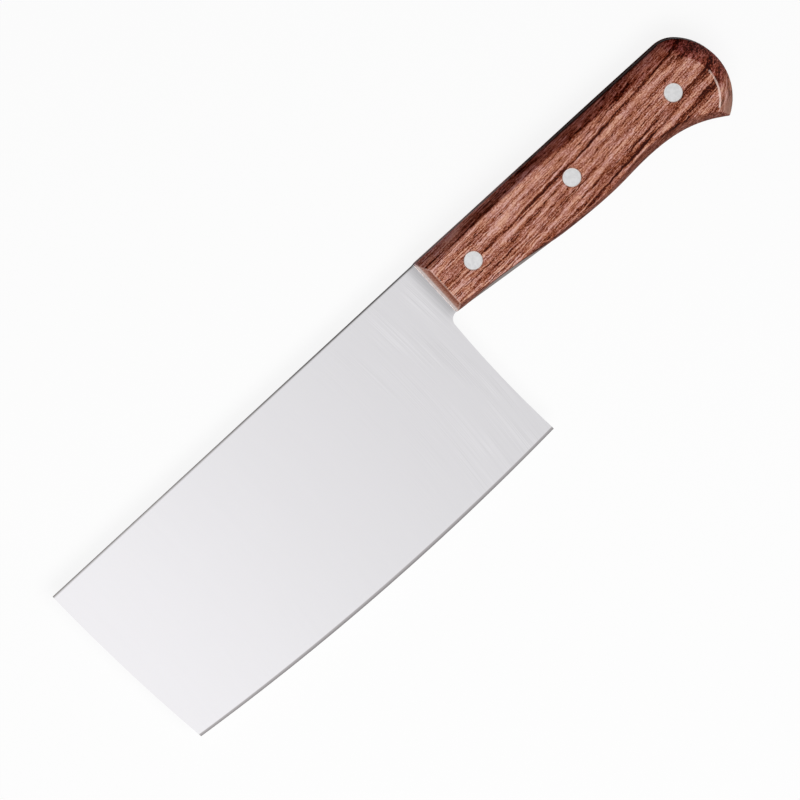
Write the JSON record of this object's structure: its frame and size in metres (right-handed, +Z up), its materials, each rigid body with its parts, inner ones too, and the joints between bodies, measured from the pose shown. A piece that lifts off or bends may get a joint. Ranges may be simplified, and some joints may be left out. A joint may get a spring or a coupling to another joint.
{
  "type": "chinese cleaver",
  "caption": "Chinese vegetable cleaver: a tall thin steel blade with a full tang, between two chamfered wooden scales held by flush cutler's rivets.",
  "frame": {"origin": "under the middle of the knife's bounding box, on the flat face of the lower scale, with the knife lying on its side", "axes": "+X from the front of the blade to the butt, +Y towards the spine, +Z up, out of the blade's left face"},
  "size_m": [0.3048, 0.0804, 0.019],
  "materials": {
    "blade_steel": "fine satin, ground across the blade",
    "handle_wood": "reddish open-grained hardwood, lacquered",
    "rivet_metal": "sanded flush, satin",
    "seal_lacquer": "pale sealing lacquer, set in the corner"
  },
  "bodies": {
    "root": {"blade": "blade_steel", "left_handle_scale": "handle_wood", "right_handle_scale": "handle_wood", "front_rivet_post": "rivet_metal", "front_rivet_sleeve": "rivet_metal", "middle_rivet_post": "rivet_metal", "middle_rivet_sleeve": "rivet_metal", "butt_rivet_post": "rivet_metal", "butt_rivet_sleeve": "rivet_metal", "left_seal_bead": "seal_lacquer", "right_seal_bead": "seal_lacquer"}
  },
  "joints": []
}
